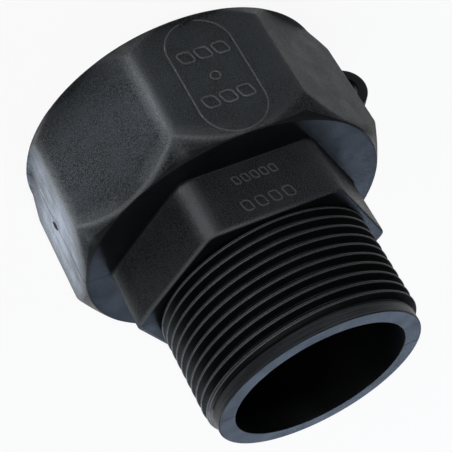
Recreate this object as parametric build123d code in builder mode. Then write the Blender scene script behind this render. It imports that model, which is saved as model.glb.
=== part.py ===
from build123d import *
import math
import os

os.makedirs("parts", exist_ok=True)

# Octagonal body, standing on its socket mouth
body_across_flats = 68.5
body_height = 30.4
body_corner_radius = 1.5
mouth_lip_height = 0.4
mouth_bevel_outset = 0.75
mouth_bevel_angle = 64.0
shoulder_bevel_inset = 0.25
shoulder_bevel_angle = 58.0

# Hexagon for the spanner
hexagon_across_flats = 50.0
hexagon_height = 13.6
hexagon_corner_radius = 2.5
hexagon_edge_bevel = 0.4

# Outlet thread G 1 1/2, with a plain pilot at its tip
outlet_thread_diameter = 47.8
outlet_thread_pitch = 2.309
outlet_flank_angle = 27.5
outlet_thread_depth = 1.48
outlet_thread_start_angle = -20.0
outlet_stub_length = 25.3
pilot_diameter = 45.4
pilot_length = 2.4
outlet_edge_bevel = 0.4
flow_bore_diameter = 38.0

# Socket thread S60x6, with a plain lead-in at its mouth
socket_thread_diameter = 60.4
socket_thread_pitch = 6.0
socket_thread_depth = 2.4
socket_crest_width = 1.4
socket_load_flank_angle = 5.0
socket_trailing_flank_angle = 30.0
socket_thread_run_in = 0.6
socket_thread_start_angle = 20.0
socket_depth = 24.0
lead_in_diameter = 61.8
lead_in_depth = 3.0

# Flat washer on the socket floor
washer_thickness = 3.0
washer_inner_diameter = 42.0
washer_side_clearance = 0.4
washer_thread_clearance = 0.6

# Eye for a tether
eye_radius = 5.5
eye_hole_diameter = 6.4
eye_thickness = 3.6
eye_reach = 4.05
eye_height = 7.4

# How far a thread ridge is rooted in the wall that carries it
ridge_root = 0.3

# Levels along the axis
hexagon_top = body_height + hexagon_height
outlet_top = hexagon_top + outlet_stub_length
pilot_start = outlet_top - pilot_length
washer_underside = socket_depth - washer_thickness

# Radii
body_flat_radius = body_across_flats / 2
body_corner_reach = body_flat_radius / math.cos(math.radians(180 / 8))
mouth_bevel_radius = body_flat_radius + mouth_bevel_outset
shoulder_bevel_radius = body_flat_radius - shoulder_bevel_inset
outlet_crest_radius = outlet_thread_diameter / 2
outlet_root_radius = outlet_crest_radius - outlet_thread_depth
pilot_radius = pilot_diameter / 2
flow_bore_radius = flow_bore_diameter / 2
socket_root_radius = socket_thread_diameter / 2
socket_crest_radius = socket_root_radius - socket_thread_depth
lead_in_radius = lead_in_diameter / 2

# The tip's edges are broken by no more than a third of its wall
outlet_tip_bevel = min(outlet_edge_bevel, (pilot_radius - flow_bore_radius) / 3)

# Outlet ridge: a symmetric V with a flat crest, and a narrow flat left between its turns
outlet_flank_slope = math.tan(math.radians(outlet_flank_angle))
outlet_crest_width = outlet_thread_pitch / 2 - outlet_thread_depth * outlet_flank_slope
outlet_ridge_width = outlet_crest_width + 2 * outlet_thread_depth * outlet_flank_slope
outlet_rooted_half_width = outlet_ridge_width / 2 + ridge_root * outlet_flank_slope
outlet_thread_start_rise = outlet_thread_pitch * outlet_thread_start_angle / 360
outlet_helix_start = hexagon_top - outlet_ridge_width / 2 + outlet_thread_start_rise
outlet_crest_run_in = outlet_crest_radius - pilot_radius

with BuildPart() as outlet_thread:
    with BuildLine() as outlet_helix:
        Helix(
            pitch=outlet_thread_pitch,
            height=pilot_start - outlet_helix_start + outlet_thread_pitch / 2,
            radius=outlet_root_radius,
            center=(0, 0, outlet_helix_start),
        )
    with BuildSketch(Plane.XZ):
        with BuildLine():
            Polyline(
                (outlet_root_radius - ridge_root, outlet_helix_start - outlet_rooted_half_width),
                (outlet_crest_radius, outlet_helix_start - outlet_crest_width / 2),
                (outlet_crest_radius, outlet_helix_start + outlet_crest_width / 2),
                (outlet_root_radius - ridge_root, outlet_helix_start + outlet_rooted_half_width),
                close=True,
            )
        make_face()
    sweep(path=outlet_helix.wire(), is_frenet=True)

    # The ridge runs out on a cone where the pilot begins
    with BuildSketch(Plane.XZ):
        with BuildLine():
            Polyline(
                (0, hexagon_top - outlet_ridge_width),
                (outlet_crest_radius + ridge_root, hexagon_top - outlet_ridge_width),
                (outlet_crest_radius + ridge_root, pilot_start - outlet_crest_run_in - ridge_root),
                (pilot_radius, pilot_start),
                (0, pilot_start),
                close=True,
            )
        make_face()
    revolve(axis=Axis.Z, mode=Mode.INTERSECT)

# Socket ridge: steep towards the floor, where the load is, and sloping towards the mouth
load_flank_rise = math.tan(math.radians(socket_load_flank_angle))
trailing_flank_rise = math.tan(math.radians(socket_trailing_flank_angle))
ridge_above_crest = socket_crest_width / 2 + socket_thread_depth * load_flank_rise
ridge_below_crest = socket_crest_width / 2 + socket_thread_depth * trailing_flank_rise
socket_helix_start = lead_in_depth + socket_thread_run_in + ridge_below_crest
socket_helix_end = washer_underside - washer_thread_clearance - ridge_above_crest

with BuildPart() as socket_thread:
    with BuildLine() as socket_helix:
        Helix(
            pitch=socket_thread_pitch,
            height=socket_helix_end - socket_helix_start,
            radius=socket_root_radius,
            center=(0, 0, socket_helix_start),
        )
    with BuildSketch(Plane.XZ):
        with BuildLine():
            Polyline(
                (
                    socket_root_radius + ridge_root,
                    socket_helix_start - ridge_below_crest - ridge_root * trailing_flank_rise,
                ),
                (socket_crest_radius, socket_helix_start - socket_crest_width / 2),
                (socket_crest_radius, socket_helix_start + socket_crest_width / 2),
                (
                    socket_root_radius + ridge_root,
                    socket_helix_start + ridge_above_crest + ridge_root * load_flank_rise,
                ),
                close=True,
            )
        make_face()
    sweep(path=socket_helix.wire(), is_frenet=True)

with BuildPart() as adapter_body:
    # Octagon with a flat towards each side, on a lip that stays round
    bevel_reach = body_corner_reach + ridge_root
    with BuildSketch():
        Circle(bevel_reach)
    extrude(amount=mouth_lip_height)
    with BuildSketch(Plane.XY.offset(mouth_lip_height)) as body_outline:
        RegularPolygon(
            radius=body_flat_radius,
            side_count=8,
            major_radius=False,
            rotation=180 / 8,
        )
        fillet(body_outline.vertices(), radius=body_corner_radius)
    extrude(amount=body_height - mouth_lip_height)

    # Conical bevels that take the corners off at the mouth and at the shoulder
    mouth_bevel_height = (bevel_reach - mouth_bevel_radius) * math.tan(math.radians(mouth_bevel_angle))
    shoulder_bevel_height = (bevel_reach - shoulder_bevel_radius) * math.tan(
        math.radians(shoulder_bevel_angle)
    )
    with BuildSketch(Plane.XZ):
        with BuildLine():
            Polyline(
                (0, 0),
                (mouth_bevel_radius, 0),
                (bevel_reach, mouth_bevel_height),
                (bevel_reach, body_height - shoulder_bevel_height),
                (shoulder_bevel_radius, body_height),
                (0, body_height),
                close=True,
            )
        make_face()
    revolve(axis=Axis.Z, mode=Mode.INTERSECT)

    # Hexagon with two corners on the parting plane, like the octagon's side flats
    with BuildSketch(Plane.XY.offset(body_height)) as hexagon_outline:
        RegularPolygon(radius=hexagon_across_flats / 2, side_count=6, major_radius=False)
        fillet(hexagon_outline.vertices(), radius=hexagon_corner_radius)
    extrude(amount=hexagon_height)
    chamfer(adapter_body.faces().sort_by(Axis.Z)[-1].edges(), length=hexagon_edge_bevel)

    # Outlet stub: the thread's core, then the pilot
    with BuildSketch(Plane.XY.offset(hexagon_top)):
        Circle(outlet_root_radius)
    extrude(amount=outlet_stub_length)
    with BuildSketch(Plane.XY.offset(pilot_start)):
        Circle(pilot_radius)
    extrude(amount=pilot_length)
    add(outlet_thread.part, rotation=(0, 0, outlet_thread_start_angle))

    # Eye in the parting plane, on the flat at -X
    with BuildSketch(Plane.XZ):
        with Locations((-body_flat_radius - eye_reach, eye_height)):
            Circle(eye_radius)
    extrude(amount=eye_thickness / 2, both=True)
    with BuildSketch(Plane.XZ):
        with Locations((-body_flat_radius - eye_reach, eye_height)):
            Circle(eye_hole_diameter / 2)
    extrude(amount=eye_thickness, both=True, mode=Mode.SUBTRACT)

    # Stepped passage: lead-in, thread root, floor, and the bore through to the tip
    with BuildSketch(Plane.XZ):
        with BuildLine():
            Polyline(
                (0, 0),
                (lead_in_radius, 0),
                (lead_in_radius, lead_in_depth),
                (socket_root_radius, lead_in_depth),
                (socket_root_radius, socket_depth),
                (flow_bore_radius, socket_depth),
                (flow_bore_radius, outlet_top),
                (0, outlet_top),
                close=True,
            )
        make_face()
    revolve(axis=Axis.Z, mode=Mode.SUBTRACT)
    chamfer(adapter_body.faces().sort_by(Axis.Z)[-1].edges(), length=outlet_tip_bevel)

    add(socket_thread.part, rotation=(0, 0, socket_thread_start_angle))

adapter_body.part.label = "adapter_body"

with BuildPart() as seal_washer:
    with BuildSketch(Plane.XY.offset(washer_underside)):
        Circle(socket_root_radius - washer_side_clearance)
        Circle(washer_inner_diameter / 2, mode=Mode.SUBTRACT)
    extrude(amount=washer_thickness)

seal_washer.part.label = "seal_washer"

export_step(adapter_body.part, "parts/adapter_body.step")
export_step(seal_washer.part, "parts/seal_washer.step")
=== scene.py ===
"""Container tap adapter: the moulded body with its two threads, the tether eye, the raised marks,
the seal washer's rubber, and a white studio stage. Lengths are in metres, in the packed model's frame:
+Z runs up the common axis from the socket's mouth to the outlet's tip."""
import math

import bpy
import numpy as np
from bpy.props import FloatProperty, FloatVectorProperty, PointerProperty
from mathutils import Matrix, Vector


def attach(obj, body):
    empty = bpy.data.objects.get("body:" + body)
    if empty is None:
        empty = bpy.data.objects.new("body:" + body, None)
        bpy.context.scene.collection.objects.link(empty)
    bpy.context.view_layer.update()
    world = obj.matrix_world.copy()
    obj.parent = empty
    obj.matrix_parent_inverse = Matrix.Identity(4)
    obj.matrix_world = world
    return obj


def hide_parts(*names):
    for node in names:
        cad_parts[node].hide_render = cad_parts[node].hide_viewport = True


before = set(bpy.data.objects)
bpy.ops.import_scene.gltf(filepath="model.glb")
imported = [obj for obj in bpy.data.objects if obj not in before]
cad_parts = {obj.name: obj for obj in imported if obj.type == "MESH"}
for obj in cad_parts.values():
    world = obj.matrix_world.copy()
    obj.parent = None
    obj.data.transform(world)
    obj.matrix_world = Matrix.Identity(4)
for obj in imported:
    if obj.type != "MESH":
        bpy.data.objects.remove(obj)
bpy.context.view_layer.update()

bl_info = {
    "name": "Container Tap Adapter",
    "version": (1, 0, 0),
    "blender": (4, 5, 0),
    "location": "View3D > Sidebar > Adapter",
    "description": "Moulded container outlet adapter with threads, marks, washer and studio stage",
    "category": "Add Mesh",
}

# Name of the mesh attribute that holds each point's share of painted highlight on edges and crests
HIGHLIGHT_ATTRIBUTE = "edge_wear"
MERGE_DISTANCE = 1e-7
TURN = 2 * math.pi
OUTWARD, INWARD, UPWARD, DOWNWARD = (1, 0), (-1, 0), (0, 1), (0, -1)

# Angle from +X to the hexagon's first flat
HEXAGON_TURN = math.radians(30)
# Degrees that an even column keeps from the closer ones at corners
CLOSEST_COLUMNS = 0.7

# Rows of raised outlines: piece, half width, half height, corner radius, height, places across the flat
MARK_SLANT = 0.25
MARK_ROWS = (
    ("octagon_marks", 0.0014, 0.0014, 0.0008, 0.0094, (-0.0038, 0, 0.0038)),
    ("octagon_marks", 0.0014, 0.0014, 0.0008, 0.0211, (-0.0038, 0, 0.0038)),
    ("hexagon_marks", 0.0006, 0.0009, 0.0004, 0.0342, (-0.0040, -0.0020, 0, 0.0020, 0.0040)),
    ("hexagon_marks", 0.0009, 0.0012, 0.0006, 0.0403, (-0.0045, -0.0015, 0.0015, 0.0045)),
)

# Reach of the painted highlight from each kind of edge, and where the edge of the thread's crest lies
OCTAGON_CORNER_HIGHLIGHT = 0.0011
HEXAGON_CORNER_HIGHLIGHT = 0.0016
CREASE_HIGHLIGHT = 0.0004
CREST_HIGHLIGHT = 0.00006
CREST_EDGE = 0.00019

# Sizes of the patterns in the materials, and an index that keeps the plastic's reflections weak
SMUDGE_SIZE = 0.005
STREAK_SIZE = 0.0007
TURNED_SIZE = 0.00022
BLOOM_SIZE = 0.003
PLASTIC_IOR = 1.17

# How each finish of the plastic differs, and the finish of each surface of the body. A depth below 1 paints
# shade on the smooth, inner and threaded finishes: the rims, shoulder, end face and eye are darkened for the
# hexagon's shadow on the shoulder, the bore for its shade, and the thread for the shade in its grooves. The
# rubbed finish and rub paint highlights on raised lines and on the thread's crests.
FINISHES = {
    "grained": dict(relief=0.00019, roughness=0.42, speckle=1.4, smudge=0.60, streak=0.20, sheen_scuffed=True),
    "smooth": dict(relief=0.00004, roughness=0.38, depth=0.6, speckle=0.4),
    "turned": dict(relief=0.00004, roughness=0.38, speckle=0.4, turned=0.6),
    "threaded": dict(relief=0.00003, roughness=0.42, depth=0.35, speckle=0.3, rub=2.0),
    "inner": dict(relief=0.00003, roughness=0.48, depth=0.35, speckle=0.4),
    "rubbed": dict(relief=0.00004, roughness=0.38, base="highlighted_colour", depth=0.5, speckle=0.4),
    "gate": dict(relief=0.00040, roughness=0.60, depth=0.5),
}
SURFACE_FINISHES = {
    "octagon": "grained",
    "hexagon": "grained",
    "rim": "smooth",
    "shoulder": "smooth",
    "end_face": "smooth",
    "bore": "inner",
    "pilot": "turned",
    "thread": "threaded",
}

# The stage: the floor's half width, the lamps, and the camera that was fitted to the photo
FLOOR_REACH = 6.0
PART_CENTRE = (0, 0, 0.035)
LAMPS = {
    "key": dict(place=(0.59, -0.34, 0.20), size=0.34, colour=(0.97, 0.99, 1.0)),
    "strip": dict(
        place=(0.29, -0.08, 0.017), aim=(0, 0, 0.016), size=0.16, height=0.022,
        spread_angle=math.radians(4), colour=(0.97, 0.99, 1.0)),
    "front": dict(place=(-0.18, -0.67, 0.09), size=0.20),
    "side": dict(place=(0.30, 0.62, 0.17), size=0.34, colour=(0.82, 0.90, 1.0)),
    "back": dict(place=(-0.23, 0.57, 0.36), size=0.34, colour=(0.60, 0.75, 1.0)),
    "top": dict(place=(0.05, 0.05, 1.0), size=0.50),
}
SENSOR_WIDTH = 36.0
CAMERA_SHIFT = (-0.0956, -0.0645)
CAMERA_PLACE = (0.08782, -0.24813, 0.16534)
CAMERA_RIGHT = Vector((-0.88833, -0.09888, 0.44844))
CAMERA_BACKWARD = Vector((0.32540, -0.82460, 0.46277))


# Settings that a user would change


def length_property(name, description, default):
    """A size in metres."""
    return FloatProperty(name=name, description=description, default=default, unit="LENGTH")


def angle_property(name, description, degrees):
    """An angle whose default is given in degrees."""
    return FloatProperty(name=name, description=description, default=math.radians(degrees), subtype="ANGLE")


def power_property(name, description, default):
    """A lamp's power in watts."""
    return FloatProperty(name=name, description=description, default=default, subtype="POWER")


def colour_property(name, description, default):
    """A linear red, green and blue."""
    return FloatVectorProperty(name=name, description=description, default=default, subtype="COLOR")


class OctagonSizes(bpy.types.PropertyGroup):
    """The large end that screws onto the container"""

    across_flats: length_property("Across flats", "Distance between opposite flats", 0.0685)
    height: length_property("Height", "From the mouth rim to the shoulder", 0.0304)
    corner_radius: length_property("Corner radius", "Rounding between two flats", 0.0015)
    lip_height: length_property("Lip height", "Height of the round lip below the flats", 0.0004)
    mouth_bevel_radius: length_property(
        "Mouth bevel radius", "Radius of the lip and the corner bevel at the mouth rim", 0.0350)
    mouth_bevel_angle: angle_property(
        "Mouth bevel angle", "Slope of the bevel at the mouth, from the rim plane", 64)
    shoulder_bevel_radius: length_property(
        "Shoulder bevel radius", "Radius of the corner bevel at the shoulder", 0.0340)
    shoulder_bevel_angle: angle_property(
        "Shoulder bevel angle", "Slope of the bevel at the shoulder, from its plane", 58)
    crease_softness: length_property(
        "Crease softness", "Width over which a flat and a bevel run into each other", 0.00035)
    edge_rounding: length_property(
        "Edge rounding", "Reach of the rounding at the rim and the shoulder edge", 0.0002)


class HexagonSizes(bpy.types.PropertyGroup):
    """The spanner hexagon above the shoulder"""

    across_flats: length_property("Across flats", "Distance between opposite flats", 0.0500)
    height: length_property("Height", "From the shoulder to the hexagon's top", 0.0136)
    corner_radius: length_property("Corner radius", "Rounding between two flats", 0.0025)
    foot_rounding: length_property("Foot rounding", "Reach of the hollow rounding on the shoulder", 0.0004)
    edge_rounding: length_property("Edge rounding", "Reach of the rounding round the top", 0.0004)


class OutletSizes(bpy.types.PropertyGroup):
    """The male pipe thread, its plain pilot and the bore"""

    thread_diameter: length_property("Thread diameter", "Over the crests", 0.0478)
    thread_pitch: length_property("Pitch", "From crest to crest", 0.002309)
    thread_depth: length_property("Thread depth", "From crest to root", 0.00148)
    flank_angle: angle_property("Flank angle", "Slope of each flank from the thread's radius", 27.5)
    crest_height: length_property("Crest height", "Height of one crest on the +X side", 0.0661)
    stub_length: length_property("Stub length", "From the hexagon's top to the tip", 0.0253)
    pilot_diameter: length_property("Pilot diameter", "Plain band at the tip", 0.0454)
    pilot_length: length_property("Pilot length", "Length of the plain band", 0.0024)
    bore_diameter: length_property("Bore", "Diameter of the passage", 0.0380)
    edge_rounding: length_property("Edge rounding", "Reach of the rounding round the tip's edges", 0.00025)
    crest_softness: length_property(
        "Crest softness", "Depth over which crest and root edges are rounded", 0.00014)


class SocketSizes(bpy.types.PropertyGroup):
    """The female container thread inside the octagon"""

    thread_diameter: length_property("Thread diameter", "Over the roots", 0.0604)
    thread_pitch: length_property("Pitch", "From ridge to ridge", 0.0060)
    thread_depth: length_property("Thread depth", "From root to crest", 0.0024)
    crest_width: length_property("Crest width", "Flat on top of the ridge", 0.0014)
    load_flank_angle: angle_property("Load flank angle", "Slope of the flank towards the floor", 5)
    trailing_flank_angle: angle_property("Trailing flank angle", "Slope of the flank towards the mouth", 30)
    depth: length_property("Depth", "From the mouth to the floor", 0.0240)
    lead_in_diameter: length_property("Lead-in diameter", "Plain step at the mouth", 0.0618)
    lead_in_depth: length_property("Lead-in depth", "Length of the plain step", 0.0030)
    ridge_start: length_property("Ridge start", "Height of the crest where the ridge begins", 0.0057)
    ridge_end: length_property("Ridge end", "Height of the crest where the ridge ends", 0.0195)
    start_angle: angle_property("Start angle", "Where the ridge begins, from +X", 20)


class EyeSizes(bpy.types.PropertyGroup):
    """The ring for a tether on the flat at -X"""

    radius: length_property("Radius", "Outer radius of the ring", 0.0057)
    hole_radius: length_property("Hole radius", "Radius of the ring's hole", 0.0032)
    thickness: length_property("Thickness", "Size of the ring along its hole", 0.0036)
    reach: length_property("Reach", "From the flat to the ring's centre", 0.00405)
    height: length_property("Height", "Height of the ring's centre", 0.0074)


class MarkSizes(bpy.types.PropertyGroup):
    """Raised lines, the parting line and the gate mark"""

    line_width: length_property("Line width", "Width of a raised line", 0.00036)
    line_height: length_property("Line height", "How far a raised line stands proud", 0.00024)
    parting_width: angle_property("Parting line width", "Angle that the parting line takes up", 0.5)
    parting_height: length_property("Parting line height", "How far the parting line stands proud", 0.00005)
    gate_height: length_property("Gate height", "Height of the gate mark's middle on the flat at +X", 0.0144)
    gate_offset: length_property(
        "Gate offset", "From the parting plane to the gate mark's middle, along Y", 0.0012)
    gate_width: length_property("Gate width", "Width of the gate mark", 0.0018)
    gate_length: length_property("Gate length", "Length of the gate mark along the axis", 0.0030)


class PlasticFinish(bpy.types.PropertyGroup):
    """Colours and grain"""

    plastic_colour: colour_property("Plastic", "Colour of the moulded plastic", (0.0090, 0.0103, 0.0119))
    # Painted highlight: the colour that edges, raised lines and thread crests are lightened to
    highlighted_colour: colour_property(
        "Painted highlights", "Colour that edges and raised lines wear to", (0.105, 0.111, 0.117))
    # Pale drag streaks on the flat at +X, in a pale bluish colour that paints a sheen of reflected light
    sheen_scuff_colour: colour_property(
        "Scuffs and sheen", "Colour of the pale scuffs on the gate's flat", (0.300, 0.338, 0.400))
    rubber_colour: colour_property("Rubber", "Colour of the seal washer", (0.020, 0.020, 0.021))
    grain_size: length_property("Grain size", "Size of the mould's grain", 0.00021)


class StageSettings(bpy.types.PropertyGroup):
    """Camera, lamps and floor"""

    lens: FloatProperty(
        name="Lens", description="Focal length on a 36 mm wide sensor, in millimetres",
        default=111.37)
    key_power: power_property("Key lamp", "Power of the low lamp in front of the +X side", 1.2)
    strip_power: power_property(
        "Strip lamp", "Power of the gridded strip that lights only the octagon", 0.018)
    front_power: power_property("Front lamp", "Power of the small low lamp in front", 1.8)
    side_power: power_property("Side lamp", "Power of the low lamp behind the +X side", 1.7)
    back_power: power_property("Back lamp", "Power of the cool lamp behind the part", 1.5)
    top_power: power_property("Top lamp", "Power of the lamp overhead", 2.2)
    world_strength: FloatProperty(
        name="World", description="Strength of the white surroundings",
        default=0.05)
    floor_glow: FloatProperty(
        name="Floor glow", description="Share of plain white in the floor that cameras and reflections see",
        default=0.92, subtype="FACTOR")
    floor_colour: colour_property("Floor", "Colour of the studio floor", (0.9, 0.9, 0.9))


# Shapes as arrays


def full_turn(steps):
    """Angles once round. The last is the first again, so that both ends of a grid meet."""
    angle = np.linspace(0, TURN, steps + 1)
    angle[-1] = 0.0
    return angle


def signed_power(value, exponent):
    """The value's size to a power with its sign kept, as in a superellipse's coordinates."""
    return np.sign(value) * np.abs(value) ** exponent


def bell(distance, width):
    """A bell curve, exp(-(distance / width) squared)."""
    return np.exp(-(distance / width) ** 2)


def soft_min(first, second, width):
    """The smaller of two surfaces, less (width - difference) squared / (4 width) where they are close."""
    near = np.maximum(width - np.abs(first - second), 0)
    return np.minimum(first, second) - near**2 / (4 * width)


def polygon_radius(angle, sides, apothem, corner_radius, turn=0.0):
    """Distance from the axis to a regular polygon with rounded corners, flats at turn + k / sides turns.

    On a flat it is the apothem over the cosine of the angle from the flat's middle. Round a corner it
    is the far side of a circle of corner_radius whose centre lies on the corner's ray."""
    half = math.pi / sides
    from_flat = (angle - turn + half) % (2 * half) - half
    from_corner = half - np.abs(from_flat)
    centre = (apothem - corner_radius) / math.cos(half)
    off_centre = centre * np.sin(from_corner)
    corner = centre * np.cos(from_corner) + np.sqrt(np.maximum(corner_radius**2 - off_centre**2, 0))
    tangent = math.atan2((apothem - corner_radius) * math.tan(half), apothem)
    return np.where(np.abs(from_flat) < tangent, apothem / np.cos(from_flat), corner)


def between(first, last, shares):
    """Rows at the given shares of the way from one row to another."""
    shares = np.asarray(shares, float)[:, None]
    return first + (last - first) * shares


def edge_rows(radius, height, arriving, leaving, reach, steps=4):
    """Rows round an edge: a parabola from reach before it to reach past it, with the edge as control
    point. The directions are (radial, axial) pairs."""
    share = np.linspace(0, 1, steps + 1)[:, None]
    before, after = reach * (1 - share) ** 2, reach * share**2
    return (
        radius - before * arriving[0] + after * leaving[0],
        height - before * arriving[1] + after * leaving[1],
    )


def helix_rows(angle, pitch, phases, bottom, top):
    """Heights of rows that climb one pitch a turn, held between bottom and top.

    Row k of column a is level k + pitch * a / turn. The levels repeat the phases, which are heights over
    the bottom, every pitch, so after a full turn each row meets the place of the one a pitch above it."""
    turns = math.ceil((top - bottom) / pitch) + 2
    starts = bottom - 2 * pitch + pitch * np.arange(turns + 2)
    levels = (starts[:, None] + np.sort(phases % pitch)).ravel()
    levels = levels[levels <= top + pitch]
    return np.clip(levels[:, None] + pitch * angle / TURN, bottom, top)


def grid_object(name, grids, materials, bands=None, wear=None):
    """Makes one closed mesh from grids of points. Neighbouring rows and columns span two triangles,
    points that coincide are merged, and triangles that collapse are dropped. bands numbers the material
    of each strip between two rows, and the last argument gives each point of a single grid its share of
    painted highlight."""
    points, triangles, marks, offset = [], [], [], 0
    for grid in grids:
        rows, columns = grid.shape[:2]
        index = offset + np.arange(rows * columns).reshape(rows, columns)
        corners = [index[:-1, :-1], index[:-1, 1:], index[1:, 1:], index[1:, :-1]]
        band = np.zeros(rows - 1, int) if bands is None else bands
        for pick in ((0, 1, 2), (0, 2, 3)):
            triangles.append(np.stack([corners[i] for i in pick], -1).reshape(-1, 3))
            marks.append(np.repeat(band, columns - 1))
        points.append(grid.reshape(-1, 3))
        offset += rows * columns
    points = np.concatenate(points)
    keys = np.round(points / MERGE_DISTANCE).astype(np.int64)
    _, kept, merged = np.unique(keys, axis=0, return_index=True, return_inverse=True)
    triangles = merged.reshape(-1)[np.concatenate(triangles)]
    marks = np.concatenate(marks)
    first, second, third = triangles.T
    whole = (first != second) & (second != third) & (first != third)
    triangles, marks = triangles[whole], marks[whole]

    mesh = bpy.data.meshes.new(name)
    mesh.vertices.add(len(kept))
    mesh.vertices.foreach_set("co", points[kept].astype(np.float32).ravel())
    mesh.loops.add(triangles.size)
    mesh.loops.foreach_set("vertex_index", triangles.astype(np.int32).ravel())
    mesh.polygons.add(len(triangles))
    mesh.polygons.foreach_set("loop_start", np.arange(0, triangles.size, 3, dtype=np.int32))
    for material in materials:
        mesh.materials.append(material)
    mesh.polygons.foreach_set("material_index", marks.astype(np.int32))
    mesh.polygons.foreach_set("use_smooth", np.ones(len(triangles), bool))
    if wear is not None:
        rubbed = mesh.attributes.new(HIGHLIGHT_ATTRIBUTE, "FLOAT", "POINT")
        rubbed.data.foreach_set("value", wear.ravel()[kept].astype(np.float32))
    mesh.update(calc_edges=True)
    if mesh.validate():
        raise RuntimeError(f"{name} has faces that Blender had to repair")
    piece = bpy.data.objects.new(name, mesh)
    bpy.context.scene.collection.objects.link(piece)
    return piece


def raised_line(path, across, up, half_width, height, sides=8):
    """Grid of a closed line on a face: an ellipse carried along its path, half of it sunk in the face.

    Point = path + half_width * cos * across + height * sin * up, round the section."""
    section = full_turn(sides)
    wide = half_width * np.cos(section)[None, :, None] * across[:, None, :]
    high = height * np.sin(section)[None, :, None] * up[None, None, :]
    return path[:, None, :] + wide + high


def outline_path(half_width, half_height, corner, centre, slant=0.0, steps=32):
    """A rectangle with round corners, as points in the plane and the outward direction at each.

    Corner centres plus corner * (cos, sin) of an angle that runs round once; slant leans it over."""
    angle = full_turn(4 * steps)
    quarter = np.minimum(np.arange(4 * steps + 1) // steps, 3)
    quarter[-1] = 0
    side_x = np.array([1, -1, -1, 1])[quarter] * (half_width - corner)
    side_y = np.array([1, 1, -1, -1])[quarter] * (half_height - corner)
    outward = np.stack([np.cos(angle), np.sin(angle)], -1)
    flat = np.stack([side_x, side_y], -1) + corner * outward
    flat[:, 0] += slant * flat[:, 1]
    return flat + np.asarray(centre), outward


def on_face(flat, outward, origin, right, up):
    """Carries a flat path and its side directions onto a face of the part."""
    right, up = np.asarray(right, float), np.asarray(up, float)
    path = np.asarray(origin) + flat[:, :1] * right + flat[:, 1:] * up
    return path, outward[:, :1] * right + outward[:, 1:] * up


# Materials


class Shading:
    """A node material under construction, patterned on the piece's own Object coordinates"""

    def __init__(self, name):
        self.material = bpy.data.materials.new(name)
        self.material.use_nodes = True
        self.nodes, self.links = self.material.node_tree.nodes, self.material.node_tree.links
        self.shader = self.nodes["Principled BSDF"]
        self.place = self.nodes.new("ShaderNodeTexCoord").outputs["Object"]

    def put(self, value, socket):
        """Links a node's output to a socket, or sets a plain colour or number on it."""
        if isinstance(value, bpy.types.NodeSocket):
            self.links.new(value, socket)
        else:
            socket.default_value = (*value, 1.0) if isinstance(value, tuple) else value

    def noise(self, size, detail=2.0, stretch=(1, 1, 1)):
        """Noise whose features are about size metres wide, stretched along each axis by its share."""
        mapping = self.nodes.new("ShaderNodeMapping")
        mapping.inputs["Scale"].default_value = [1 / (size * share) for share in stretch]
        self.put(self.place, mapping.inputs["Vector"])
        texture = self.nodes.new("ShaderNodeTexNoise")
        texture.inputs["Scale"].default_value = 1.0
        texture.inputs["Detail"].default_value = detail
        self.put(mapping.outputs["Vector"], texture.inputs["Vector"])
        return texture.outputs["Fac"]

    def along(self, axis):
        """One Object coordinate of the piece."""
        split = self.nodes.new("ShaderNodeSeparateXYZ")
        self.put(self.place, split.inputs["Vector"])
        return split.outputs[axis]

    def spread(self, value, low, high, to_low=0.0, to_high=1.0):
        """Maps a value from low..high to to_low..to_high, held at the ends."""
        node = self.nodes.new("ShaderNodeMapRange")
        for socket, number in zip(("From Min", "From Max", "To Min", "To Max"), (low, high, to_low, to_high)):
            node.inputs[socket].default_value = number
        self.put(value, node.inputs["Value"])
        return node.outputs["Result"]

    def combine(self, operation, first, second=0.0):
        """One step of arithmetic on node outputs or plain numbers."""
        node = self.nodes.new("ShaderNodeMath")
        node.operation = operation
        self.put(first, node.inputs[0])
        self.put(second, node.inputs[1])
        return node.outputs[0]

    def blend(self, share, first, second):
        """Mixes two colours; either may be a plain colour or another node's output."""
        node = self.nodes.new("ShaderNodeMix")
        node.data_type = "RGBA"
        self.put(share, node.inputs["Factor"])
        self.put(first, node.inputs[6])
        self.put(second, node.inputs[7])
        return node.outputs[2]

    def bump(self, pattern, distance):
        """Raises the shader's surface by a pattern, distance metres at most."""
        node = self.nodes.new("ShaderNodeBump")
        node.inputs["Strength"].default_value = 1.0
        node.inputs["Distance"].default_value = distance
        self.put(pattern, node.inputs["Height"])
        self.put(node.outputs["Normal"], self.shader.inputs["Normal"])


def shade(colour, factor):
    """The colour times a factor."""
    return tuple(factor * channel for channel in colour)


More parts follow.
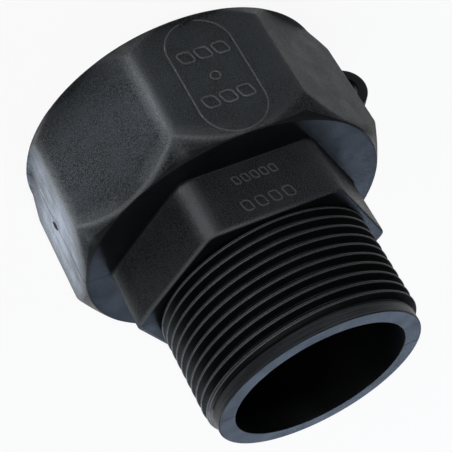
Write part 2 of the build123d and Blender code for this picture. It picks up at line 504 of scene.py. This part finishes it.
def moulded_plastic(name, relief, roughness, base="plastic_colour", depth=1.0, speckle=1.0, smudge=0.25,
                    streak=0.0, turned=0.0, rub=1.0, sheen_scuffed=False):
    """Black moulded plastic in depth times its base colour, where the darker depths of some finishes are
    painted shade: a mould grain in relief and colour, lighter smudges, drag streaks along Z, turned lines
    round Z, pale drag streaks on the flat at +X in a colour that paints a sheen of reflected light,
    painted highlights on edges and crests, and a painted shadow of a groove as a dark line where the
    mould's halves met."""
    finish = bpy.context.scene.adapter_finish
    colour = shade(getattr(finish, base), depth)
    shading = Shading(name)
    grain = shading.noise(finish.grain_size)
    cloud = shading.noise(SMUDGE_SIZE, detail=5.0)
    drag = shading.noise(STREAK_SIZE, detail=4.0, stretch=(1, 1, 14))
    lathe = shading.noise(TURNED_SIZE, detail=1.0, stretch=(50, 50, 1))
    off_seam = shading.combine("ABSOLUTE", shading.along("Y"))

    tone = shading.blend(
        shading.spread(grain, 0.42, 0.62),
        shade(colour, 1 - 0.7 * speckle), shade(colour, 1 + 1.9 * speckle))
    layers = (
        (cloud, 0.45, 0.75, smudge, 2.6), (drag, 0.55, 0.80, streak, 3.4), (lathe, 0.42, 0.60, turned, 4.0))
    for pattern, low, high, share, lightness in layers:
        tone = shading.blend(shading.spread(pattern, low, high, 0, share), tone, shade(colour, lightness))
    # The flat at +X: real drag streaks and smudges whose pale bluish colour paints a sheen of reflected light
    if sheen_scuffed:
        flat = bpy.context.scene.adapter_octagon.across_flats / 2
        on_flat = shading.combine(
            "MULTIPLY", shading.spread(shading.along("X"), flat - 0.0004, flat - 0.0001),
            shading.spread(off_seam, 0.007, 0.014, 1, 0.45))
        scuff_and_sheen_share = shading.combine(
            "ADD", shading.spread(drag, 0.35, 0.70, 0, 0.35), shading.spread(cloud, 0.35, 0.65, 0.15, 0.80))
        spots = shading.spread(grain, 0.40, 0.62, 0.5, 1)
        sheen_scuff = shading.combine("MULTIPLY", shading.combine("MULTIPLY", on_flat, scuff_and_sheen_share), spots)
        tone = shading.blend(sheen_scuff, tone, tuple(finish.sheen_scuff_colour))
    # Painted highlight on edges and crests, from the body's attribute, patchy with the grain
    wear = shading.nodes.new("ShaderNodeAttribute")
    wear.attribute_name = HIGHLIGHT_ATTRIBUTE
    scuff_and_sheen_share = shading.combine("MULTIPLY", wear.outputs["Fac"], shading.spread(grain, 0.38, 0.60, 0.5, 1))
    tone = shading.blend(scuff_and_sheen_share, tone, shade(finish.highlighted_colour, rub))
    # Painted shadow of a groove: a dark line within 0.18 mm of the parting plane y = 0
    tone = shading.blend(shading.spread(off_seam, 0.00010, 0.00018, 0.9, 0), tone, shade(colour, 0.1))

    dull = shading.spread(cloud, 0.3, 0.7, roughness - 0.05, roughness + 0.07)
    shading.put(tone, shading.shader.inputs["Base Color"])
    shading.put(
        shading.combine("ADD", dull, shading.spread(grain, 0.35, 0.65, 0.05, -0.07)),
        shading.shader.inputs["Roughness"])
    shading.shader.inputs["IOR"].default_value = PLASTIC_IOR
    shading.bump(grain, relief)
    return shading.material


def seal_rubber(name, colour):
    """Smooth black rubber with a dusty bloom."""
    shading = Shading(name)
    bloom = shading.noise(BLOOM_SIZE, detail=5.0)
    tone = shading.blend(shading.spread(bloom, 0.4, 0.8, 0, 0.5), colour, shade(colour, 2.5))
    shading.put(tone, shading.shader.inputs["Base Color"])
    shading.put(shading.spread(bloom, 0.3, 0.7, 0.62, 0.78), shading.shader.inputs["Roughness"])
    shading.bump(shading.noise(0.0004), 0.00002)
    return shading.material


def finish_material(kind):
    """The material of one of the FINISHES, made the first time it is asked for."""
    name = f"{kind}_plastic"
    return bpy.data.materials.get(name) or moulded_plastic(name, **FINISHES[kind])


# The moulded body


def column_angles(parting_width):
    """Angles of the body's columns over one turn: even steps, with closer ones at the octagon's and
    the hexagon's corners and at the parting line."""
    even = np.arange(0, 360, 2.0)
    octagon = (22.5 + 45 * np.arange(8))[:, None] + np.array([-1.4, -1.0, -0.5, 0, 0.5, 1.0, 1.4])
    hexagon = (60 * np.arange(6))[:, None] + np.array([-3.5, -3.0, -2.2, -1.1, 0, 1.1, 2.2, 3.0, 3.5])
    half_line = math.degrees(parting_width) / 2
    parting = (180 * np.arange(2))[:, None] + np.array([-1.2, -1, 1, 1.2]) * half_line
    special = np.concatenate([octagon.ravel(), hexagon.ravel(), parting.ravel()]) % 360
    apart = np.abs((even[:, None] - special[None, :] + 180) % 360 - 180).min(1)
    angles = np.radians(np.sort(np.concatenate([even[apart > CLOSEST_COLUMNS], special])))
    return np.append(angles, TURN)


def octagon_faces(angle, height, octagon):
    """Radii of the faces that bound the octagon's side: flats, cone at the mouth, cone at the shoulder."""
    flats = polygon_radius(angle, 8, octagon.across_flats / 2, octagon.corner_radius)
    at_mouth = octagon.mouth_bevel_radius + height / math.tan(octagon.mouth_bevel_angle)
    below_shoulder = octagon.height - height
    at_shoulder = octagon.shoulder_bevel_radius + below_shoulder / math.tan(octagon.shoulder_bevel_angle)
    return flats, at_mouth, at_shoulder


def side_radius(angle, height, octagon):
    """Radius of the octagon's side: the smallest of its faces, or the round lip where that is larger.

    The lip follows the mouth's cone and falls away with a slope of 1.5 above lip_height."""
    flats, at_mouth, at_shoulder = octagon_faces(angle, height, octagon)
    side = soft_min(soft_min(flats, at_mouth, octagon.crease_softness), at_shoulder, octagon.crease_softness)
    lip = at_mouth - 1.5 * np.maximum(height - octagon.lip_height, 0)
    return -soft_min(-side, -lip, octagon.lip_height / 2)


def from_crest(angle, height, outlet):
    """Distance along the axis to the middle of the nearest crest, where crests climb a pitch a turn."""
    pitch = outlet.thread_pitch
    climb = height - outlet.crest_height - pitch * angle / TURN
    return np.abs((climb + pitch / 2) % pitch - pitch / 2)


def outlet_radius(angle, height, outlet):
    """Radius of the male thread: a V of the given flank angle about the middle of its depth, cut flat
    and rounded at crest and root."""
    half_depth = outlet.thread_depth / 2
    flank = (outlet.thread_pitch / 4 - from_crest(angle, height, outlet)) / math.tan(outlet.flank_angle)
    capped = soft_min(flank, half_depth, outlet.crest_softness)
    ridge = -soft_min(-capped, half_depth, outlet.crest_softness)
    return outlet.thread_diameter / 2 - half_depth + ridge


def socket_radius(angle, height, socket):
    """Radius of the female thread: root less a ridge with a flat crest and two slopes, which fades in
    and out over a twentieth of a turn."""
    pitch = socket.thread_pitch
    climb = height - socket.ridge_start - pitch * (angle - socket.start_angle) / TURN
    turns = np.round(climb / pitch)
    off_crest = climb - turns * pitch
    above = (socket.crest_width / 2 - off_crest) / math.tan(socket.load_flank_angle) + socket.thread_depth
    below = (socket.crest_width / 2 + off_crest) / math.tan(socket.trailing_flank_angle) + socket.thread_depth
    ridge = np.clip(np.minimum(above, below), 0, socket.thread_depth)
    travelled = (angle - socket.start_angle) / TURN + turns
    length = (socket.ridge_end - socket.ridge_start) / pitch
    fade = np.clip(np.minimum(travelled, length - travelled) / 0.05, 0, 1)
    return socket.thread_diameter / 2 - ridge * fade * fade * (3 - 2 * fade)


def octagon_rows(angle, octagon, socket):
    """Rim that the part stands on, then the octagon's side, with rows round the lip's top and along
    both bevels' creases."""
    ones = np.ones_like(angle)
    edge = octagon.edge_rounding
    lead_in = socket.lead_in_diameter / 2 * ones
    rim = side_radius(angle, 0 * ones, octagon)
    yield "rim", *edge_rows(lead_in, 0 * ones, DOWNWARD, OUTWARD, edge)
    yield "rim", between(lead_in + edge, rim - edge, [0.1, 0.5, 0.9]), 0 * ones[None]
    yield "rim", *edge_rows(rim, 0 * ones, OUTWARD, UPWARD, edge)

    across = np.array([-0.0006, -0.00035, -0.00015, 0, 0.00015, 0.00035, 0.0006])[:, None]
    flats = octagon_faces(angle, 0, octagon)[0]
    lip = octagon.lip_height * np.array([0.75, 1.0, 1.25, 1.6, 2.0, 2.5, 3.2])[:, None] * ones
    low_crease = np.maximum(
        (flats - octagon.mouth_bevel_radius) * math.tan(octagon.mouth_bevel_angle),
        3.4 * octagon.lip_height - across[0])
    high_crease = octagon.height - np.maximum(
        (flats - octagon.shoulder_bevel_radius) * math.tan(octagon.shoulder_bevel_angle), 4 * edge)
    levels = np.concatenate([
        lip,
        between(lip[-1], low_crease + across[0], [0.35, 0.7]),
        low_crease + across,
        between(low_crease + across[-1], high_crease + across[0], np.arange(1, 8) / 8),
        high_crease + across,
        between(high_crease + across[-1], (octagon.height - edge) * ones, [0.3, 0.65]),
    ])
    yield "octagon", side_radius(angle, levels, octagon), levels


def hexagon_rows(angle, octagon, hexagon, outlet):
    """Shoulder, the hexagon's side and its top, in to the male thread."""
    ones = np.ones_like(angle)
    edge, foot = octagon.edge_rounding, hexagon.foot_rounding
    shoulder_height = octagon.height * ones
    shoulder = side_radius(angle, shoulder_height, octagon)
    side = polygon_radius(angle, 6, hexagon.across_flats / 2, hexagon.corner_radius, HEXAGON_TURN)
    yield "shoulder", *edge_rows(shoulder, shoulder_height, UPWARD, INWARD, edge)
    yield "shoulder", between(shoulder - edge, side + foot, [0.08, 0.35, 0.65, 0.92]), shoulder_height[None]
    yield "shoulder", *edge_rows(side, shoulder_height, INWARD, UPWARD, foot)

    edge = hexagon.edge_rounding
    top = (octagon.height + hexagon.height) * ones
    yield "hexagon", side[None], between(shoulder_height + foot, top - edge, [0.04, 0.25, 0.5, 0.75, 0.96])
    yield "hexagon", *edge_rows(side, top, UPWARD, INWARD, edge)
    yield "shoulder", between(side - edge, outlet_radius(angle, top, outlet), [0.1, 0.5, 0.95]), top[None]


def outlet_rows(angle, bottom, outlet, socket):
    """Male thread and the cone of 45 degrees that it runs out on, then the pilot, the end face, the
    bore and the socket's floor."""
    ones = np.ones_like(angle)
    pilot = outlet.pilot_diameter / 2
    tip = bottom + outlet.stub_length
    pilot_start = tip - outlet.pilot_length
    flank_run = outlet.thread_depth * math.tan(outlet.flank_angle)
    crest_edge = (outlet.thread_pitch / 2 - flank_run) / 2
    softness = outlet.crest_softness * math.tan(outlet.flank_angle)
    near_crest = np.concatenate([
        [0], crest_edge + softness * np.array([-1, -0.4, 0, 0.4, 1, 1.9]),
        crest_edge + flank_run + softness * np.array([-1, 0, 1])])
    phases = np.concatenate([near_crest, -near_crest[1:]]) + outlet.crest_height - bottom
    levels = helix_rows(angle, outlet.thread_pitch, phases, bottom, pilot_start)
    run_out = pilot + (pilot_start - levels)
    yield "thread", np.minimum(outlet_radius(angle, levels, outlet), run_out), levels

    edge = outlet.edge_rounding
    bore, floor = outlet.bore_diameter / 2 * ones, socket.depth * ones
    yield "pilot", pilot * ones[None], between(pilot_start * ones, (tip - edge) * ones, [0, 0.06, 0.5, 0.94])
    yield "pilot", *edge_rows(pilot * ones, tip * ones, UPWARD, INWARD, edge)
    yield "end_face", between((pilot - edge) * ones, bore + edge / 2, [0.08, 0.5, 0.92]), tip * ones[None]
    yield "end_face", *edge_rows(bore, tip * ones, INWARD, DOWNWARD, edge / 2)
    yield "bore", bore[None], between((tip - edge / 2) * ones, floor + edge, [0.03, 0.25, 0.5, 0.75, 0.97])
    yield "bore", *edge_rows(bore, floor, DOWNWARD, OUTWARD, edge)
    yield "bore", between(bore + edge, socket.thread_diameter / 2, [0.1, 0.5, 0.98]), floor[None]


def socket_rows(angle, socket, rim_edge):
    """Female thread from the floor down, then the lead-in step, down to the rim's edge."""
    ones = np.ones_like(angle)
    pitch, step = socket.thread_pitch, socket.lead_in_depth
    root, lead_in = socket.thread_diameter / 2 * ones, socket.lead_in_diameter / 2 * ones
    ridge_marks = np.array([-2.5, -2.1, -1.4, -0.78, -0.6, 0, 0.6, 0.72, 0.9, 1.0, 1.6, 2.6]) / 6 * pitch
    phases = ridge_marks + socket.ridge_start - step - pitch * socket.start_angle / TURN
    levels = helix_rows(angle, pitch, phases, step, socket.depth)[::-1]
    yield "bore", socket_radius(angle, levels, socket), levels
    yield "bore", between(root, lead_in, [0.5, 1]), step * ones[None]
    yield "bore", lead_in[None], between(step * ones, rim_edge * ones, [0.05, 0.5, 0.95, 1])


def body_rows(angle, octagon, hexagon, outlet, socket):
    """The body's section once round its closed outline, as rows of radius and height for every column,
    and the name of the surface that each row belongs to."""
    sections = [
        *octagon_rows(angle, octagon, socket),
        *hexagon_rows(angle, octagon, hexagon, outlet),
        *outlet_rows(angle, octagon.height + hexagon.height, outlet, socket),
        *socket_rows(angle, socket, octagon.edge_rounding),
    ]
    radii, heights, surfaces = [], [], []
    for surface, radius, height in sections:
        radius, height = np.broadcast_arrays(radius, height)
        radii.append(radius)
        heights.append(height)
        surfaces += [surface] * len(radius)
    return np.concatenate(radii), np.concatenate(heights), np.array(surfaces)


def raise_parting_line(angle, radii, heights, surfaces, marks):
    """Lifts a fine ridge where the mould's halves met, on the two columns in the XZ plane.

    Each point moves along its section's normal by parting_height * (1 - distance / half width)."""
    from_line = np.abs((angle + math.pi / 2) % math.pi - math.pi / 2)
    lift = np.clip(1 - from_line / (marks.parting_width / 2), 0, 1) * marks.parting_height
    on_side = np.isin(surfaces, ["octagon", "hexagon"])[:, None]
    on_face = np.isin(surfaces, ["shoulder", "end_face"])[:, None]
    return radii + on_side * lift, heights + on_face * lift


def edge_wear(angle, radii, heights, surfaces, octagon, hexagon, outlet):
    """Share of painted highlight at each point of the body: bell curves of the distance from the octagon's
    corners and creases, the hexagon's corners and top edge, and both edges of the thread's crest.
    The painted highlight is weaker towards -X, the shaded side."""
    def from_corner(sides, turn=0.0):
        half = math.pi / sides
        return np.abs((angle - turn) % (2 * half) - half) * radii

    flats, at_mouth, at_shoulder = octagon_faces(angle, heights, octagon)
    on_flat = (flats < at_mouth) & (flats < at_shoulder)
    off_crest = from_crest(angle, heights, outlet)
    # Painted highlight is stronger towards +X, where the light falls, and weaker towards -X
    lit_side_share = np.clip(0.5 + radii * np.cos(angle) / 0.024, 0.12, 1)
    wear = {
        "octagon": lit_side_share * np.maximum.reduce([
            bell(from_corner(8), OCTAGON_CORNER_HIGHLIGHT) * np.where(on_flat, 1, 0.35),
            0.4 * bell(flats - at_mouth, CREASE_HIGHLIGHT),
            bell(flats - at_shoulder, CREASE_HIGHLIGHT),
            0.5 * bell(octagon.height - heights, 0.75 * CREASE_HIGHLIGHT)]),
        "hexagon": lit_side_share * 1.6 * np.maximum(
            bell(from_corner(6, HEXAGON_TURN), HEXAGON_CORNER_HIGHLIGHT),
            bell(octagon.height + hexagon.height - heights, CREASE_HIGHLIGHT)),
        "thread": np.maximum(lit_side_share, 0.5) * np.maximum(
            bell(off_crest - CREST_EDGE, CREST_HIGHLIGHT), 0.15 * (off_crest < CREST_EDGE)),
    }
    named = surfaces[:, None]
    return sum(np.where(named == surface, share, 0) for surface, share in wear.items())


class ADAPTER_OT_moulded_body(bpy.types.Operator):
    """Make the one-piece body with both threads"""

    bl_idname = "adapter.moulded_body"
    bl_label = "Moulded Body"

    def execute(self, context):
        scene = context.scene
        octagon, hexagon, outlet = scene.adapter_octagon, scene.adapter_hexagon, scene.adapter_outlet
        angle = column_angles(scene.adapter_marks.parting_width)
        radii, heights, surfaces = body_rows(angle, octagon, hexagon, outlet, scene.adapter_socket)
        radii, heights = raise_parting_line(angle, radii, heights, surfaces, scene.adapter_marks)
        # Share of painted highlight on edges and crests at each point
        wear = edge_wear(angle, radii, heights, surfaces, octagon, hexagon, outlet)
        cosine, sine = np.cos(angle), np.sin(angle)
        cosine[-1], sine[-1] = cosine[0], sine[0]
        grid = np.stack([radii * cosine, radii * sine, heights], -1)
        kinds = list(dict.fromkeys(SURFACE_FINISHES.values()))
        bands = np.array([kinds.index(SURFACE_FINISHES[surface]) for surface in surfaces[1:]])
        body = grid_object("moulded_body", [grid], [finish_material(kind) for kind in kinds], bands, wear)
        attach(body, "root")
        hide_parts("adapter_body")
        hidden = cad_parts["adapter_body"].data.materials
        hidden.clear()
        hidden.append(finish_material("grained"))
        return {"FINISHED"}


class ADAPTER_OT_tether_eye(bpy.types.Operator):
    """Make the ring for a tether"""

    bl_idname = "adapter.tether_eye"
    bl_label = "Tether Eye"

    def execute(self, context):
        eye, octagon = context.scene.adapter_eye, context.scene.adapter_octagon
        around, section = full_turn(96), full_turn(32)
        # The section is a superellipse, close to a rectangle with round corners
        wide = signed_power(np.cos(section), 0.3) * (eye.radius - eye.hole_radius) / 2
        deep = signed_power(np.sin(section), 0.3) * eye.thickness / 2
        radius = (eye.radius + eye.hole_radius) / 2 + wide
        grid = np.stack([
            -octagon.across_flats / 2 - eye.reach + np.cos(around)[:, None] * radius,
            np.broadcast_to(deep, (len(around), len(section))),
            eye.height + np.sin(around)[:, None] * radius,
        ], -1)
        # The ring takes the smooth finish, whose darker colour is painted shade
        ring = grid_object("tether_eye", [grid], [finish_material("smooth")])
        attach(ring, "root")
        return {"FINISHED"}


class ADAPTER_OT_flat_marks(bpy.types.Operator):
    """Make the raised outline and plain marks on the front flats"""

    bl_idname = "adapter.flat_marks"
    bl_label = "Raised Marks"

    def execute(self, context):
        scene = context.scene
        marks = scene.adapter_marks
        # Half width, half height, corner radius, centre and slant of each outline
        outlines = {
            "octagon_marks": [
                (0.0070, 0.0144, 0.0070, (0, 0.0153)), (0.0010, 0.0010, 0.0010, (-0.0002, 0.0155))],
            "hexagon_marks": [],
        }
        for name, half_width, half_height, corner, height, places in MARK_ROWS:
            outlines[name] += [
                (half_width, half_height, corner, (place, height), MARK_SLANT) for place in places]
        faces = {"octagon_marks": scene.adapter_octagon, "hexagon_marks": scene.adapter_hexagon}
        for name, shapes in outlines.items():
            origin = (0, -faces[name].across_flats / 2, 0)
            grids = []
            for shape in shapes:
                path, side = on_face(*outline_path(*shape), origin, (-1, 0, 0), (0, 0, 1))
                grids.append(raised_line(
                    path, side, np.array([0.0, -1.0, 0.0]), marks.line_width / 2, marks.line_height))
            # The raised lines are coloured lighter as a painted highlight
            piece = grid_object(name, grids, [finish_material("rubbed")])
            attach(piece, "root")
        return {"FINISHED"}


class ADAPTER_OT_gate_mark(bpy.types.Operator):
    """Make the torn lip and pit where the plastic ran in"""

    bl_idname = "adapter.gate_mark"
    bl_label = "Gate Mark"

    def execute(self, context):
        marks = context.scene.adapter_marks
        face = context.scene.adapter_octagon.across_flats / 2
        around = full_turn(48)
        # A rhombus that leans along Y with height
        wide = signed_power(np.cos(around), 1.5) * marks.gate_width / 2
        high = signed_power(np.sin(around), 1.5) * marks.gate_length / 2
        # Rows from the pit's middle over the torn lip and down behind the face, as shares of the
        # outline and heights over the face
        share, rise = np.array([
            (0, 0.00002), (0.3, 0.00003), (0.6, 0.00003), (0.75, 0.00008), (0.85, 0.00014),
            (0.93, 0.00010), (1, 0), (1, -0.0003), (0, -0.0003)]).T[..., None]
        torn = 1 + 0.35 * np.sin(3 * around) * np.cos(7 * around)
        grid = np.stack([
            face + np.where(rise > 0, rise * torn, rise),
            marks.gate_offset + share * (wide - 0.25 * high),
            marks.gate_height + share * high,
        ], -1)
        piece = grid_object("gate_mark", [grid], [finish_material("gate")])
        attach(piece, "root")
        return {"FINISHED"}


class ADAPTER_OT_seal_washer(bpy.types.Operator):
    """Give the seal washer its rubber"""

    bl_idname = "adapter.seal_washer"
    bl_label = "Seal Washer Rubber"

    def execute(self, context):
        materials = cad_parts["seal_washer"].data.materials
        materials.clear()
        materials.append(seal_rubber("seal_rubber", tuple(context.scene.adapter_finish.rubber_colour)))
        return {"FINISHED"}


# The stage


def area_lamp(name, power, place, size, colour=(1, 1, 1), aim=PART_CENTRE, height=None, spread_angle=math.pi):
    """A lamp at a place, turned towards the point it aims at: square, or a strip of the given height."""
    data = bpy.data.lights.new(name, "AREA")
    data.size = size
    if height is not None:
        data.shape = "RECTANGLE"
        data.size_y = height
    data.spread = spread_angle
    data.energy = power
    data.color = colour
    lamp = bpy.data.objects.new(name, data)
    bpy.context.scene.collection.objects.link(lamp)
    away = Vector(place) - Vector(aim)
    lamp.matrix_world = Matrix.Translation(place) @ away.to_track_quat("Z", "Y").to_matrix().to_4x4()


def whiten_for_camera(shading, share):
    """Mixes a share of plain white into a surface where the camera, a reflection or a clear
    material sees it, so the surface stays near white and still shows shadows."""
    path = shading.nodes.new("ShaderNodeLightPath")
    seen = path.outputs["Is Camera Ray"]
    for kind in ("Is Glossy Ray", "Is Transmission Ray"):
        seen = shading.combine("MAXIMUM", seen, path.outputs[kind])
    white = shading.nodes.new("ShaderNodeEmission")
    mix = shading.nodes.new("ShaderNodeMixShader")
    shading.put(shading.spread(seen, 0, 1, 0, share), mix.inputs["Fac"])
    shading.put(shading.shader.outputs["BSDF"], mix.inputs[1])
    shading.put(white.outputs["Emission"], mix.inputs[2])
    shading.put(mix.outputs["Shader"], shading.nodes["Material Output"].inputs["Surface"])


class ADAPTER_OT_stage(bpy.types.Operator):
    """Make the floor, the lamps, the surroundings and the camera"""

    bl_idname = "adapter.stage"
    bl_label = "Studio Stage"

    def execute(self, context):
        scene, settings = context.scene, context.scene.adapter_stage
        corners = FLOOR_REACH * np.array([[[-1, -1, 0], [1, -1, 0]], [[-1, 1, 0], [1, 1, 0]]])
        shading = Shading("studio_floor")
        colour = tuple(settings.floor_colour)
        tone = shading.blend(shading.noise(0.4), colour, shade(colour, 1.02))
        shading.put(tone, shading.shader.inputs["Base Color"])
        shading.shader.inputs["Roughness"].default_value = 0.9
        shading.shader.inputs["Specular IOR Level"].default_value = 0.0
        whiten_for_camera(shading, settings.floor_glow)
        floor = grid_object("studio_floor", [corners], [shading.material])

        for name, lamp in LAMPS.items():
            area_lamp(f"{name}_lamp", getattr(settings, f"{name}_power"), **lamp)

        world = bpy.data.worlds.new("studio_surroundings")
        world.use_nodes = True
        background = world.node_tree.nodes["Background"]
        background.inputs["Color"].default_value = (1, 1, 1, 1)
        background.inputs["Strength"].default_value = settings.world_strength
        scene.world = world

        data = bpy.data.cameras.new("photo_camera")
        data.lens = settings.lens
        data.sensor_width = SENSOR_WIDTH
        data.shift_x, data.shift_y = CAMERA_SHIFT
        data.clip_start = 0.01
        camera = bpy.data.objects.new("photo_camera", data)
        scene.collection.objects.link(camera)
        axes = (CAMERA_RIGHT, CAMERA_BACKWARD.cross(CAMERA_RIGHT), CAMERA_BACKWARD)
        camera.matrix_world = Matrix.Translation(CAMERA_PLACE) @ Matrix(axes).transposed().to_4x4()
        scene.camera = camera
        scene.view_settings.view_transform = "Standard"
        return {"FINISHED"}


class ADAPTER_PT_panel(bpy.types.Panel):
    """Buttons and sizes in the 3D view's sidebar"""

    bl_label = "Tap Adapter"
    bl_idname = "ADAPTER_PT_panel"
    bl_space_type = "VIEW_3D"
    bl_region_type = "UI"
    bl_category = "Adapter"

    def draw(self, context):
        for operator in OPERATORS:
            self.layout.operator(operator.bl_idname)
        for name, group in SETTINGS.items():
            box = self.layout.box()
            box.label(text=group.__doc__)
            for prop in group.__annotations__:
                box.prop(getattr(context.scene, name), prop)


OPERATORS = (
    ADAPTER_OT_moulded_body,
    ADAPTER_OT_tether_eye,
    ADAPTER_OT_flat_marks,
    ADAPTER_OT_gate_mark,
    ADAPTER_OT_seal_washer,
    ADAPTER_OT_stage,
)
SETTINGS = {
    "adapter_octagon": OctagonSizes,
    "adapter_hexagon": HexagonSizes,
    "adapter_outlet": OutletSizes,
    "adapter_socket": SocketSizes,
    "adapter_eye": EyeSizes,
    "adapter_marks": MarkSizes,
    "adapter_finish": PlasticFinish,
    "adapter_stage": StageSettings,
}


def register():
    for group in SETTINGS.values():
        bpy.utils.register_class(group)
    for name, group in SETTINGS.items():
        setattr(bpy.types.Scene, name, PointerProperty(type=group))
    for operator in OPERATORS:
        bpy.utils.register_class(operator)
    bpy.utils.register_class(ADAPTER_PT_panel)


def unregister():
    bpy.utils.unregister_class(ADAPTER_PT_panel)
    for operator in reversed(OPERATORS):
        bpy.utils.unregister_class(operator)
    for name, group in SETTINGS.items():
        delattr(bpy.types.Scene, name)
        bpy.utils.unregister_class(group)


def main():
    """Makes every piece and the stage."""
    register()
    bpy.ops.adapter.moulded_body()
    bpy.ops.adapter.tether_eye()
    bpy.ops.adapter.flat_marks()
    bpy.ops.adapter.gate_mark()
    bpy.ops.adapter.seal_washer()
    bpy.ops.adapter.stage()


if __name__ == "__main__":
    main()
